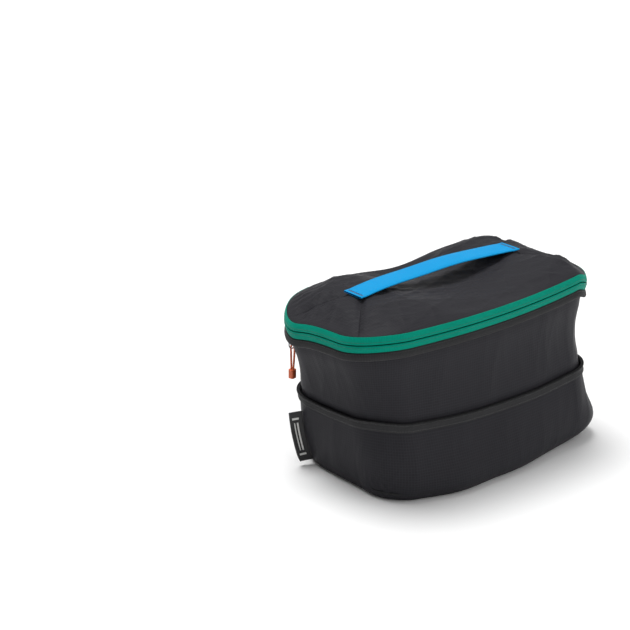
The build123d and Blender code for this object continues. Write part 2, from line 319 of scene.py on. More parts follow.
def cord_material():
    """Braided cord: two sets of crossing strands."""
    weave = Weave("braided_cord", 0.6, sheen=0.3, use_object=True)
    x, y, z = weave.axis(0), weave.axis(1), weave.axis(2)
    round_it = weave.number("ADD", x, y)
    left = weave.ribs(weave.number("ADD", z, round_it), 1.1 * MM)
    right = weave.ribs(weave.number("SUBTRACT", z, round_it), 1.1 * MM)
    strands = weave.number("MAXIMUM", left, right)
    weave.paint(weave.colour(strands, (0.30, 0.045, 0.012), (0.78, 0.17, 0.05)))
    weave.bump(strands, 0.00018, 0.8)
    return weave.material


def moulded_material():
    weave = Weave("moulded_end", 0.5, use_object=True)
    weave.paint(weave.colour(weave.noise(160, 2), (0.60, 0.105, 0.03), (0.70, 0.14, 0.045)))
    weave.bump(weave.noise(1500, 2), 0.00005, 0.5)
    return weave.material


def label_material():
    weave = Weave("woven_label", 0.5, sheen=0.2)
    rows = weave.ribs(weave.axis(1), 0.45 * MM)
    weave.paint(weave.colour(rows, (0.008, 0.008, 0.009), (0.022, 0.022, 0.024)))
    weave.bump(rows, 0.00008, 0.6)
    return weave.material


def thread_material(name, low, high):
    weave = Weave(name, 0.55, sheen=0.3, use_object=True)
    twist = weave.ribs(weave.number("ADD", weave.axis(0), weave.axis(2)), 0.5 * MM)
    weave.paint(weave.colour(twist, low, high))
    weave.bump(twist, 0.00008, 0.6)
    return weave.material


def make_looks():
    """Every material of the cloth, the zippers and the threads, by a short word."""
    tapes = {
        # The lower green tape is the same green as the upper one, darkened with painted shade, because its
        # band sits lower and faces less of the light.
        "green_low": ("green_tape_low_painted_shade", (0.0, 0.19, 0.130), (0.0, 0.31, 0.215), (0.0, 0.37, 0.26)),
        "green_high": ("green_tape_high", (0.0, 0.20, 0.135), (0.0, 0.33, 0.225), (0.0, 0.40, 0.28)),
        "black_tape": ("black_tape", (0.022, 0.022, 0.023), (0.052, 0.052, 0.054), (0.07, 0.07, 0.073)),
    }
    threads = {
        "black_thread": ((0.010, 0.010, 0.011), (0.045, 0.045, 0.048)),
        "green_thread": ((0.0, 0.045, 0.030), (0.001, 0.10, 0.068)),
        "blue_thread": ((0.004, 0.16, 0.44), (0.03, 0.34, 0.74)),
        "pale_thread": ((0.60, 0.60, 0.58), (0.86, 0.86, 0.84)),
    }
    look = {word: tape_material(*values) for word, values in tapes.items()}
    look.update({word: thread_material(word, low, high) for word, (low, high) in threads.items()})
    look["ripstop"] = ripstop_material()
    look["binding"] = binding_material()
    look["webbing"] = webbing_material()
    look["label"] = label_material()
    # The green coil is darkened far below the tapes' green. This is painted shade standing for the dark gap
    # between the two green tapes.
    look["green_coil"] = coil_material("green_coil", (0.0, 0.075, 0.05), (0.0, 0.05, 0.033))
    look["black_coil"] = coil_material("black_coil", (0.020, 0.020, 0.021), (0.040, 0.040, 0.042))
    look["stop"] = metal_material("stop_metal", (0.42, 0.42, 0.44), 0.3, 0.5, 200)
    return look


# ---- Wall outline and how the filled cloth leans, sags and bulges ----
def outline_spans():
    """The outline from the middle of the back, anticlockwise: arcs and straight ends."""
    lean, right = lean_angle, pi / 2
    bow_y = side_radius - side_y
    r, big = corner_radius, side_radius
    return [
        ("arc", (0, -bow_y), big, right, right + lean),
        ("arc", (-corner_x, corner_y), r, right + lean, pi),
        ("end", (-half_length, corner_y), 2 * corner_y, pi, pi),
        ("arc", (-corner_x, -corner_y), r, pi, 3 * right - lean),
        ("arc", (0, bow_y), big, 3 * right - lean, 3 * right + lean),
        ("arc", (corner_x, -corner_y), r, 3 * right + lean, 4 * right),
        ("end", (half_length, -corner_y), 2 * corner_y, 4 * right, 4 * right),
        ("arc", (corner_x, corner_y), r, 4 * right, 5 * right - lean),
        ("arc", (0, -bow_y), big, 5 * right - lean, 5 * right),
    ]


spans = outline_spans()
span_lengths = [size if kind == "end" else size * (high - low) for kind, _, size, low, high in spans]
perimeter = sum(span_lengths)
teeth_width = 1.9 * MM            # of one row of zipper teeth, up the wall
span_starts = np.concatenate(([0.0], np.cumsum(span_lengths)))


def wall_at(distance):
    """Outline point and outward angle at each distance along it: arrays x, y, angle."""
    distance = np.mod(np.asarray(distance, float), perimeter)
    x, y, angle = (np.zeros_like(distance) for _ in range(3))
    for (kind, centre, size, low, _), start, length in zip(spans, span_starts, span_lengths):
        here = (distance >= start) & (distance <= start + length)
        along = distance[here] - start
        if kind == "arc":
            turn = low + along / size
            x[here] = centre[0] + size * np.cos(turn)
            y[here] = centre[1] + size * np.sin(turn)
            angle[here] = turn
        else:
            side = cos(low)
            x[here] = centre[0]
            y[here] = centre[1] + side * along
            angle[here] = low
    return x, y, angle


def smooth(low, high, value):
    """0 before low, 1 after high, smooth between."""
    share = np.clip((value - low) / (high - low), 0, 1)
    return share * share * (3 - 2 * share)


def bell(value, width):
    return np.exp(-((value / width) ** 2))


def rim_sag(x, y):
    """How far the rim stands above its nominal level: low at the left and the back."""
    rise = 3.2 * MM + 0.03 * x + 0.15 * x * x - 0.03 * (y + 80 * MM)
    level = smooth(60 * MM, 120 * MM, x) * smooth(-62 * MM, -15 * MM, y)
    level = np.maximum(level, smooth(106 * MM, 134 * MM, x))
    left_end = 5.5 * MM * smooth(-85 * MM, -140 * MM, x) * (1 - 0.6 * smooth(30 * MM, 70 * MM, y))
    left_end = left_end * smooth(-88 * MM, -30 * MM, y)
    left_end = left_end + 6 * MM * bell(np.hypot(x + 140 * MM, y - 52 * MM), 38 * MM)
    back_dip = 8.5 * MM * bell(x - 25 * MM, 48 * MM) * smooth(0, 80 * MM, y)
    return rise * (1 - level) - left_end - back_dip


def corner_pull(x, y):
    """The back left corner of the rim and the lid, drawn forwards by the load: shifts along x and y."""
    here = bell(np.hypot(x + 140 * MM, y - 50 * MM), 30 * MM)
    return -2.5 * MM * here, -7 * MM * here


def mid_sag(x, y):
    """The same for the lower half of the compression zipper: up at the front left corner."""
    corner = 4.5 * MM * bell(x + 130 * MM, 50 * MM) * bell(y + 66 * MM, 50 * MM)
    right_end = 3.0 * MM * smooth(40 * MM, 120 * MM, x) * smooth(20 * MM, -60 * MM, y)
    return corner + right_end - 1.5 * MM * smooth(-90 * MM, -20 * MM, x) * smooth(40 * MM, -40 * MM, y)


def base_lift(x):
    """How far the edge of the base is off the floor."""
    left = 1.5 * MM * smooth(-80 * MM, -146 * MM, x)
    right = 3 * MM * smooth(60 * MM, 146 * MM, x)
    return 0.8 * MM + left + right


def facing(angle, direction, width):
    """1 where the wall faces a direction, falling off round the corner."""
    turn = np.mod(angle - direction + pi, 2 * pi) - pi
    return bell(turn, width)


def settle(x, y, angle, out, z):
    """Where a point of the wall sits in the filled cube. out is outwards from the nominal wall."""
    z = np.asarray(z, float) + np.zeros_like(x)
    low_part = np.clip(1 - z / upper_low, 0, 1)
    in_gusset = np.clip((z - mid_top) / (upper_low - mid_top), 0, 1)
    in_wall = np.clip(z / wall_top, 0, 1)
    left = facing(angle, radians(168), radians(75))
    right_end = facing(angle, radians(12), radians(28))
    right_front = facing(angle, radians(-36), radians(48)) * (1 - 0.9 * right_end)
    front_left = facing(angle, radians(222), radians(34))
    front = facing(angle, radians(268), radians(60))
    waist = np.where(z > mid_top, np.sin(pi * in_gusset), 0)
    belly = np.where(z < wall_top, np.sin(pi * in_wall), 0)
    seam = bell(z - mid_top, 26 * MM)
    push = -waist * (4.2 * MM + 2.0 * MM * right_front)
    push = push - seam * (1.2 * MM + 3.5 * MM * front_left)
    push = push + belly * (1.5 * MM + 4.5 * MM * front + 1.0 * MM * right_front)
    push = push - (left * 21 * MM + right_end * 10 * MM) * low_part
    push = push + right_front * 8.5 * MM * bell(z - 17 * MM, 17 * MM)
    under = np.clip(1 - z / (13 * MM), 0, 1)
    push = push - under**2 * (2 * MM + 6 * MM * right_front)
    swell = bell(x + 52 * MM, 44 * MM) * smooth(20 * MM, -60 * MM, y)
    swell = swell + 0.6 * bell(x - 20 * MM, 40 * MM) * smooth(0, -60 * MM, y)
    push = push + 12 * MM * swell * bell(z - 5 * MM, 24 * MM)
    upper_sag = rim_sag(x, y) * in_gusset + mid_sag(x, y) * (1 - in_gusset)
    sag = np.where(z > mid_top, upper_sag, mid_sag(x, y) * in_wall)
    sag = sag + base_lift(x) * (1 - in_wall) ** 1.5
    reach = push + out
    pull_x, pull_y = corner_pull(x, y)
    upper_part = in_gusset**1.5
    shift_x = 8 * MM * low_part + pull_x * upper_part
    shift_y = pull_y * upper_part
    settled = (x + reach * np.cos(angle) + shift_x, y + reach * np.sin(angle) + shift_y, z + sag)
    return np.stack(settled, axis=-1)


# ---- Mesh helpers ----
def folds(u, v, seed, size, turn=0.0, spread=pi, count=7):
    """Soft ridges like creased cloth, about -1 to 1, at places u, v in metres."""
    random = np.random.default_rng(seed)
    total = np.zeros_like(u)
    bend_u = u + 0.45 * size * np.sin(v / size * 1.7 + seed)
    bend_v = v + 0.45 * size * np.sin(u / size * 1.3 + 2 * seed)
    for _ in range(count):
        direction = turn + spread * (random.random() - 0.5)
        length = size * (0.6 + 0.9 * random.random())
        phase = 2 * pi * random.random()
        wave = np.sin((bend_u * cos(direction) + bend_v * sin(direction)) * 2 * pi / length + phase)
        total += 1 - 2 * np.sqrt(np.abs(wave) + 0.02)
    return total / count * 1.6


def new_piece(name, points, faces, uvs, material):
    """Mesh object from a point list, faces and one UV pair for each face corner."""
    mesh = bpy.data.meshes.new(name)
    mesh.from_pydata([tuple(map(float, point)) for point in points], [], faces)
    layer = mesh.uv_layers.new(name="UVMap")
    layer.data.foreach_set("uv", np.asarray(uvs, float).reshape(-1))
    mesh.materials.append(material)
    mesh.update()
    mesh.shade_smooth()
    piece = bpy.data.objects.new(name, mesh)
    bpy.context.collection.objects.link(piece)
    return piece


def heights(node):
    """Lowest and highest Z of a CAD node."""
    return [corner[2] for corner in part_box(node)]


def place(piece, body, *nodes):
    """The piece moves with a body, and stands for the nodes."""
    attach(piece, body)
    if nodes:
        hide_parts(*nodes)


def grid_piece(name, points, flat, material, closed=False, flip=False):
    """Piece from a rows x columns grid of points, with flat places (metres) for the UV map."""
    rows, columns = points.shape[:2]
    faces, uvs = [], []
    last = columns if closed else columns - 1
    wrap = flat[:, 0, 0][:, None] + (perimeter if closed else 0)
    for row in range(rows - 1):
        for column in range(last):
            after = (column + 1) % columns
            corners = [(row, column), (row, after), (row + 1, after), (row + 1, column)]
            places = [
                flat[row, column],
                (wrap[row, 0], flat[row, after, 1]) if after == 0 else flat[row, after],
                (wrap[row + 1, 0], flat[row + 1, after, 1]) if after == 0 else flat[row + 1, after],
                flat[row + 1, column],
            ]
            if flip:
                corners.reverse()
                places.reverse()
            faces.append([r * columns + c for r, c in corners])
            uvs.extend(places)
    return new_piece(name, points.reshape(-1, 3), faces, uvs, material)


def thicken(piece, depth):
    """Gives a sheet its thickness, inwards."""
    modifier = piece.modifiers.new("cloth", "SOLIDIFY")
    modifier.thickness = depth
    modifier.offset = -1
    modifier.use_rim = True


def wall_grid(levels, columns=520, start=0.0, stop=None):
    """Distances and heights of a grid on the wall: arrays of rows x columns."""
    closed = stop is None
    distance = np.linspace(start, perimeter if closed else stop, columns, endpoint=not closed)
    return np.meshgrid(distance, np.asarray(levels, float))


def ring_band(name, profile, material, start=0.0, stop=None, columns=520):
    """A band round the wall. profile is a closed list of (out, z) pairs."""
    outs = [out for out, _ in profile] + [profile[0][0]]
    levels = [z for _, z in profile] + [profile[0][1]]
    distance, _ = wall_grid(levels, columns, start, stop)
    x, y, angle = wall_at(distance)
    out = np.array(outs)[:, None] + np.zeros_like(distance)
    z = np.array(levels)[:, None] + np.zeros_like(distance)
    points = settle(x, y, angle, out, z)
    run = np.concatenate(([0.0], np.cumsum(np.hypot(np.diff(outs), np.diff(levels)))))
    flat = np.stack((distance, run[:, None] + np.zeros_like(distance)), axis=-1)
    return grid_piece(name, points, flat, material, closed=stop is None, flip=True)


def teeth_coil(name, out, z, depth, pitch, material, start, stop, lead):
    """Zipper coil: one flattened turn of monofilament each pitch, along the wall."""
    length = stop - start
    turns = int(length / pitch)
    steps, sides, thread = 9, 5, 0.30 * MM
    along = start + np.arange(turns * steps + 1) / steps * pitch
    phase = 2 * pi * np.arange(turns * steps + 1) / steps + lead
    x, y, angle = wall_at(along)
    centre = settle(x, y, angle, out + depth / 2 * np.cos(phase), z + teeth_width / 2 * np.sin(phase))
    tangent = np.gradient(centre, axis=0)
    tangent /= np.linalg.norm(tangent, axis=1)[:, None]
    outward = np.stack((np.cos(angle), np.sin(angle), 0 * angle), axis=-1)
    side = np.cross(tangent, outward)
    side /= np.linalg.norm(side, axis=1)[:, None]
    other = np.cross(side, tangent)
    around = np.linspace(0, 2 * pi, sides, endpoint=False)
    over, beside = np.cos(around)[None, :, None], np.sin(around)[None, :, None]
    rings = centre[:, None] + thread * (over * side[:, None] + beside * other[:, None])
    lengthwise = np.linspace(0, length, len(along))
    flat = np.stack(np.meshgrid(lengthwise, around * thread, indexing="ij"), axis=-1)
    faces, uvs = [], []
    for ring in range(len(along) - 1):
        for k in range(sides):
            after = (k + 1) % sides
            near, far = ring * sides, (ring + 1) * sides
            faces.append([near + k, near + after, far + after, far + k])
            uvs.extend([flat[ring, k], flat[ring, after], flat[ring + 1, after], flat[ring + 1, k]])
    faces.append(list(range(sides))[::-1])
    uvs.extend([flat[0, k] for k in range(sides)][::-1])
    tail = (len(along) - 1) * sides
    faces.append([tail + k for k in range(sides)])
    uvs.extend([flat[-1, k] for k in range(sides)])
    return new_piece(name, rings.reshape(-1, 3), faces, uvs, material)


def stitch_row(name, out, z, material, slot, start=0.0, stop=None, pitch=2.6 * MM, length=1.7 * MM):
    """A row of lockstitches along the wall, each a small rounded bar."""
    end = perimeter if stop is None else stop
    middles = np.arange(start + pitch / 2, end - pitch / 2, pitch)
    points, faces, uvs = [], [], []
    section = [(-0.22, 0.0), (0.0, 0.24), (0.22, 0.0)]
    for middle in middles:
        first = len(points)
        for share, swell in ((-0.5, 0.3), (-0.25, 1.0), (0.25, 1.0), (0.5, 0.3)):
            at = middle + share * length
            x, y, angle = wall_at(np.array([at] * 3))
            base_out = out(at) if callable(out) else out
            outs = np.array([base_out + s[1] * swell * MM for s in section])
            levels = np.array([z + s[0] * MM for s in section])
            points.extend(settle(x, y, angle, outs, levels))
        for ring in range(3):
            for k in range(2):
                a = first + ring * 3 + k
                faces.append([a, a + 3, a + 4, a + 1])
                uvs.extend([(0, 0), (length, 0), (length, 0.0004), (0, 0.0004)])
    return new_piece(name, points, faces, uvs, material)


# ---- Cords ----
# The pull cord's route round the foot of its wire pull, as in the CAD source: outwards
# from the ring's plane, and up from the wire's lowest centre, in millimetres.
cord_route = [(-0.55, -22.0), (-2.25, -5.5), (-2.25, 3.4), (2.25, 3.4), (2.25, -5.5), (1.75, -22.0)]
ring_length = 38 * MM
cord_diameter = 2 * MM


def make_pull_cord(word, material):
    swing = next(joint for joint in frame["joints"] if joint["name"] == f"{word}_pull_swing")
    pivot = Vector(swing["pos_m"])
    out = (-Vector(swing["axis"])).cross(Vector((0, 0, 1)))
    route = [pivot + out * (o * MM) + Vector((0, 0, up * MM - ring_length)) for o, up in cord_route]
    curve = bpy.data.curves.new(f"{word}_cord", "CURVE")
    curve.dimensions = "3D"
    curve.bevel_depth = cord_diameter / 2
    curve.bevel_resolution = 5
    curve.resolution_u = 16
    curve.use_fill_caps = True
    spline = curve.splines.new("NURBS")
    spline.points.add(len(route) - 1)
    for point, position in zip(spline.points, route):
        point.co = (*position, 1)
    spline.order_u = 3
    spline.use_endpoint_u = True
    curve.materials.append(material)
    piece = bpy.data.objects.new(f"{word}_cord", curve)
    bpy.context.collection.objects.link(piece)
    place(piece, f"{word}_pull", f"{word}_pull_cord")


# ---- Lower half ----
cloth = 0.35 * MM
cloth_columns = 560               # of the wall's and the base's meshes, round the cube
inside = -0.9 * MM                # where the bindings' outer face lies, behind the wall
hinge_arc = side_radius * asin(hinge_half / side_radius)


def step_levels(low, high, step):
    return np.linspace(low, high, max(2, int(round((high - low) / step)) + 1))


def make_wall_cloth(name, low, high, inset, seed, size, depth, material):
    """Wall cloth between two heights, creased away from its seams."""
    levels = step_levels(low, high, 2.0 * MM)
    distance, z = wall_grid(levels, cloth_columns)
    x, y, angle = wall_at(distance)
    share = (z - low) / (high - low)
    free = np.sin(pi * np.clip(share, 0, 1)) ** 0.6
    soft = folds(distance, z * 0.6, seed, size, turn=0.1, spread=0.9, count=4)
    broad = folds(distance, z * 0.5, seed + 5, 2.4 * size, turn=0.0, spread=0.7, count=3)
    near_corner = facing(angle, radians(222), radians(30)) + facing(angle, radians(-38), radians(25))
    out = -inset + depth * free * (0.5 * soft * (0.3 + near_corner) + 0.8 * broad)
    pinch = folds(distance, z * 1.4, seed + 9, 17 * MM, turn=0.7, spread=1.8, count=4)
    foot = bell(z - 14 * MM, 16 * MM) * facing(angle, radians(232), radians(26)) * smooth(0, 8 * MM, z)
    out = out + 1.3 * MM * pinch * foot
    if low > wall_top:
        out = out - 1.6 * MM * (bell(z - upper_low, 7 * MM) + bell(z - mid_top, 6 * MM))
    points = settle(x, y, angle, out, z)
    flat = np.stack((distance, z), axis=-1)
    piece = grid_piece(name, points, flat, material, closed=True)
    thicken(piece, cloth)
    return piece


def make_base_cloth(material):
    """The base: flat on the floor in the middle, curling up to the wall's lower edge."""
    around = np.linspace(0, perimeter, cloth_columns, endpoint=False)
    distance, share = np.meshgrid(around, np.linspace(0, 1, 34) ** 1.3)
    x, y, angle = wall_at(distance)
    edge = settle(x, y, angle, 0 * x, 0 * x)
    spine_x = 0.9 * np.clip(edge[..., 0], -62 * MM, 72 * MM)
    px = edge[..., 0] * (1 - share) + spine_x * share
    py = edge[..., 1] * (1 - share)
    floor_gap = 0.5 * MM
    rise = np.maximum(edge[..., 2] - floor_gap, 0) * (1 - smooth(0.0, 0.45, share)) ** 1.4
    ripple = 0.25 * MM * folds(px, py, 31, 40 * MM) * smooth(0, 0.15, share)
    pz = floor_gap + rise + np.abs(ripple)
    points = np.stack((px, py, pz), axis=-1)
    flat = np.stack((px, py), axis=-1)
    piece = grid_piece("base_cloth", points, flat, material, closed=True, flip=True)
    place(piece, "base", "base_panel")


def edge_strip(name, low, high, material, node, body, start=0.0, stop=None, out=inside):
    """Thin binding tape on the inside of the wall."""
    thick = 0.7 * MM
    profile = [(out, low), (out, high), (out - thick, high), (out - thick, low)]
    place(ring_band(name, profile, material, start, stop), body, node)


black_teeth_end = 16 * MM         # from the middle of the back to the compression zipper's first tooth
stop_middle = 14.6 * MM           # from there to the middle of its crimped stop
stop_height = 2.3 * MM
label_angle = radians(150)        # where the label's upright seam is, round the back left corner


def corner_distance(angle):
    """Distance along the outline to a place round the back left corner."""
    return span_starts[1] + corner_radius * (angle - (pi / 2 + lean_angle))


def wall_blocks(word, inset, out_low, out_high, low, high, look, body, node):
    """Small rounded blocks at both ends of a zipper, as crimped stops, inset from mid back."""
    half_run = 1.5 * MM
    for side, middle in (("left", inset), ("right", perimeter - inset)):
        x, y, angle = wall_at(np.array([middle - half_run, middle + half_run]))
        corners = []
        for out, z in ((out_low, low), (out_high, low), (out_high, high), (out_low, high)):
            corners.extend(settle(x, y, angle, np.array([out, out]), np.array([z, z])))
        faces = [[0, 2, 4, 6], [1, 7, 5, 3], [0, 1, 3, 2], [2, 3, 5, 4], [4, 5, 7, 6], [6, 7, 1, 0]]
        uvs = [(0, 0), (0.003, 0), (0.003, 0.002), (0, 0.002)] * 6
        piece = new_piece(f"{word}_{side}", corners, faces, uvs, look["stop"])
        round_off = piece.modifiers.new("edges", "BEVEL")
        round_off.width = 0.35 * MM
        round_off.segments = 3
        place(piece, body, *([node] if side == "left" else []))


def black_zipper_half(word, body, section, foot, teeth, stitches, stop_low, look, lead=0.0):
    """Half of the compression zipper: tape, teeth, stitches and stops. Pairs are (out, z)."""
    profile = [(out * MM, foot + up * MM) for out, up in section]
    tape = ring_band(f"{word}_tape", profile, look["black_tape"])
    place(tape, body, f"compression_tape_{word}")
    teeth_out, teeth_z, depth = teeth
    coil = teeth_coil(f"{word}_teeth", teeth_out, teeth_z, depth, 1.35 * MM, look["black_coil"],
                      black_teeth_end, perimeter - black_teeth_end, lead)
    place(coil, body, f"compression_coil_{word}")
    place(stitch_row(f"{word}_tape_stitches", *stitches, look["black_thread"], "binding"), body)
    wall_blocks(f"{word}_stop", stop_middle, 0.6 * MM, 2.1 * MM, stop_low, stop_low + stop_height, look, body,
                f"compression_stops_{word}")


def make_lower_half(look):
    wall = make_wall_cloth("lower_wall_cloth", 0, wall_top, 0.0, 3, 46 * MM, 0.9 * MM, look["ripstop"])
    place(wall, "base", "lower_wall")
    make_base_cloth(look["ripstop"])
    middle = corner_distance(label_angle)
    for name, node, start, stop in (
        ("base_seam_binding", "base_binding", 0.0, None),
        ("wall_seam_binding", "wall_binding", 0.0, None),
        ("upright_seam_tape", "wall_seam_tape", middle - 5.5 * MM, middle + 5.5 * MM),
    ):
        low, high = heights(node)
        edge_strip(name, low, high, look["binding"], node, "base", start, stop)
    section = [(-0.9, -2.6), (0.6, -2.9), (1.4, -2.2), (1.7, -0.6), (1.6, 1.2), (1.7, 3.0), (1.3, 4.6),
               (0.4, 5.7), (-0.9, 6.0)]
    black_zipper_half("lower", "base", section, wall_top, (1.5 * MM, mid_top - 1.2 * MM, 0.9 * MM),
                      (1.6 * MM, wall_top - 1.2 * MM), mid_top - 2.4 * MM, look)


def make_gusset(look):
    low, high = wall_top + 1 * MM, green_low - 1 * MM
    piece = make_wall_cloth("gusset_cloth", low, high, 1.0 * MM, 11, 52 * MM, 0.9 * MM, look["ripstop"])
    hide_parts("expansion_gusset")
    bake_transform(piece)


# ---- Rim ----
def green_ridge(distance):
    """How far the meeting edges of the green tapes stand out: less under the lid sliders."""
    x, y, _ = wall_at(distance)
    return 2.4 * MM - 2.0 * MM * smooth(95 * MM, 125 * MM, x) * smooth(-62 * MM, -35 * MM, y)


def green_tape(name, low, high, ridge_at_top, material, start, stop):
    """One green tape: its sewn edge lies on the wall, its free edge stands out to the ridge."""
    shares = np.array([0.0, 0.2, 0.45, 0.7, 0.88, 1.0])
    swell = np.array([0.25, 0.55, 0.78, 0.92, 1.0, 0.9])
    distance, share = np.meshgrid(np.linspace(start, stop, 520), np.concatenate((shares, shares[::-1])))
    lift = np.concatenate((swell, swell[::-1]))[:, None] * green_ridge(distance)
    back_face = np.arange(len(lift))[:, None] >= len(shares)
    out = lift - np.where(back_face, 0.9 * MM, 0)
    z = low + share * (high - low) if ridge_at_top else high - share * (high - low)
    x, y, angle = wall_at(distance)
    points = settle(x, y, angle, out, z)
    points = np.concatenate((points, points[:1]))
    run = np.concatenate((share * (high - low), share[:1] * (high - low)))
    flat = np.stack((np.concatenate((distance, distance[:1])), run), axis=-1)
    return grid_piece(name, points, flat, material, flip=ridge_at_top)


def on_green(distance):
    """Height of the green tape's face where its stitches run."""
    return float(green_ridge(np.array([distance]))[0]) * 0.93 - 0.05 * MM


def green_zipper_half(word, body, side, low, high, look):
    """Half of the green zipper: tape, teeth and stitches. side is 1 above the teeth, -1 below."""
    start, stop = hinge_arc, perimeter - hinge_arc
    lower = side < 0
    # The lower tape takes the darker copy of the green, whose colours hold painted shade.
    tape_look = look["green_low" if lower else "green_high"]
    tape = green_tape(f"green_tape_{word}", low, high, lower, tape_look, start, stop)
    place(tape, body, f"main_tape_{word}")
    teeth_z = zipper_z + side * 1.2 * MM
    # The coil's dark green is painted shade for the gap between the tapes.
    coil = teeth_coil(f"green_teeth_{word}", -1.7 * MM, teeth_z, 1.0 * MM, 1.5 * MM, look["green_coil"],
                      start + 2 * MM, stop - 2 * MM, 0.0 if lower else pi)
    place(coil, body, f"main_coil_{word}")
    stitch_z = (green_mid_low if lower else green_mid_high) + side * 2.2 * MM
    row = stitch_row(f"green_stitches_{word}", on_green, stitch_z, look["green_thread"], "green_tape",
                     start, stop, 2.2 * MM, 1.5 * MM)
    place(row, body)


def make_hinge(look):
    """The cloth hinge across the back, over the gap between the green tapes' ends."""
    levels = step_levels(green_low, lid_seam, 0.6 * MM)
    distance, z = wall_grid(levels, 150, -hinge_arc - 1.5 * MM, hinge_arc + 1.5 * MM)
    x, y, angle = wall_at(distance)
    free = np.sin(pi * (z - green_low) / (lid_seam - green_low))
    out = 0.3 * MM * free + 0.25 * MM * folds(distance, z, 17, 22 * MM, 0.1, 0.8) * free
    points = settle(x, y, angle, out, z)
    hinge = grid_piece("hinge_cloth", points, np.stack((distance, z), axis=-1), look["ripstop"])
    thicken(hinge, cloth)
    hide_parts("hinge_panel")
    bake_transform(hinge)


def make_rim(look):
    section = [(-0.9, 0.0), (0.8, -0.3), (1.9, 0.5), (2.3, 1.8), (2.2, 3.4), (1.7, 5.0), (1.0, 6.4),
               (0.1, 7.4), (-0.9, 7.5)]
    black_zipper_half("upper", "rim", section, upper_low, (1.15 * MM, upper_low + 1.0 * MM, 0.8 * MM),
                      (1.25 * MM, green_low - 1.8 * MM), upper_low + 0.1 * MM, look, lead=pi)
    low, high = heights("rim_binding")
    edge_strip("rim_seam_binding", low + 3.5 * MM, high, look["binding"], "rim_binding", "rim",
               out=inside - 1 * MM)
    green_zipper_half("lower", "rim", -1, green_low, green_mid_low - 0.1 * MM, look)
    wall_blocks("zipper_end", hinge_arc + 1.8 * MM, 1.2 * MM, 2.4 * MM, zipper_z - 3.5 * MM,
                zipper_z - 0.4 * MM, look, "rim", "zipper_ends")
    make_hinge(look)


# ---- Lid ----
strap_shift = -4.5 * MM           # the filled lid carries the strap a little to the left
dart_x = half_length - 5 * MM
dart_y = 52 * MM


def edge_depth(x, y):
    """Distance in from the outline, for the shape of the crown."""
    half_depth = side_y - 6 * MM * np.clip(np.abs(x) / corner_x, 0, 1) ** 2
    flat_y = np.abs(y) * (corner_radius + corner_y) / half_depth
    over_x = np.abs(x) - corner_x
    over_y = flat_y - corner_y
    outside = np.hypot(np.maximum(over_x, 0), np.maximum(over_y, 0))
    return corner_radius - outside - np.minimum(np.maximum(over_x, over_y), 0)


def seam_gap(x, y):
    """Distance to the nearest of the lid's four slanted seams."""
    start_x = strap_x + np.sign(x) * strap_shift
    along_x, along_y = dart_x - start_x, dart_y - strap_half_width
    length = np.sqrt(along_x**2 + along_y**2)
    rel_x, rel_y = np.abs(x) - start_x, np.abs(y) - strap_half_width
    share = np.clip((rel_x * along_x + rel_y * along_y) / length**2, 0, 1)
    return np.hypot(rel_x - share * along_x, rel_y - share * along_y)


def lid_height(x, y):
    """Height of the lid's cloth: full at both ends, low in the middle where the handle runs."""
    depth = np.maximum(edge_depth(x, y), 0)
    fullness = 1 - (1 - np.clip(depth / (44 * MM), 0, 1)) ** 2.3
    crown = 5.5 * MM + 9.0 * MM * smooth(15 * MM, 88 * MM, np.abs(x - 10 * MM))
    crown = crown - 7.0 * MM * bell(x + 2 * MM, 44 * MM) * smooth(10 * MM, 50 * MM, y)
    crown = crown + 3.5 * MM * bell(x - 88 * MM, 40 * MM) * bell(y - 42 * MM, 30 * MM)
    crown = crown + 4.0 * MM * bell(x + 72 * MM, 40 * MM) * bell(y - 44 * MM, 30 * MM)
    crown = crown - 1.5 * MM * bell(y, 18 * MM) * bell(x, 80 * MM)
    dip = 1.5 * MM * bell(seam_gap(x, y), 3.5 * MM) * smooth(0, 8 * MM, depth)
    swell = 1.4 * MM * bell(seam_gap(x, y) - 14 * MM, 9 * MM) * smooth(4 * MM, 16 * MM, depth)
    near_ends = smooth(55 * MM, 105 * MM, np.abs(x))
    crease = folds(x, y * 1.2, 21, 34 * MM, 0.5, 2.4) * (0.55 + 0.75 * near_ends)
    broad = folds(x, y, 27, 80 * MM, 0.3, 2.6, 4)
    tuck = np.sin(2 * pi * x / (19 * MM) + 2.2 * np.sin(x / (31 * MM))) * bell(depth - 9 * MM, 9 * MM)
    wrinkle = (0.75 * crease + 1.3 * broad + 0.28 * tuck) * MM * smooth(0, 14 * MM, depth)
    under_ends = bell(np.abs(x - strap_shift) - strap_x, 14 * MM) * bell(y, 16 * MM)
    left_panel = smooth(-104 * MM, -112 * MM, x) * smooth(0, 12 * MM, seam_gap(x, y))
    left_panel = left_panel * smooth(2 * MM, 10 * MM, depth)
    slant = (0.5 * x + 0.86 * y) * 2 * pi / (8.5 * MM)
    stretch = 0.5 * np.sin(slant + 2.0 * np.sin(x / (9 * MM))) ** 3
    wrinkle = wrinkle + 0.45 * MM * stretch * left_panel
    wrinkle = wrinkle * (1 - 0.8 * under_ends)
    return lid_seam + rim_sag(x, y) + crown * fullness - dip + swell + wrinkle


def outline_distance(x, y):
    """Distance along the outline of its point nearest to x, y."""
    sample = np.linspace(0, perimeter, 8000, endpoint=False)
    ox, oy, _ = wall_at(sample)
    return sample[np.argmin(np.hypot(ox - x, oy - y))]


def lid_points(x, y):
    z = lid_height(x, y)
    pull_x, pull_y = corner_pull(x, y)
    return np.stack((x + pull_x, y + pull_y, z), axis=-1)


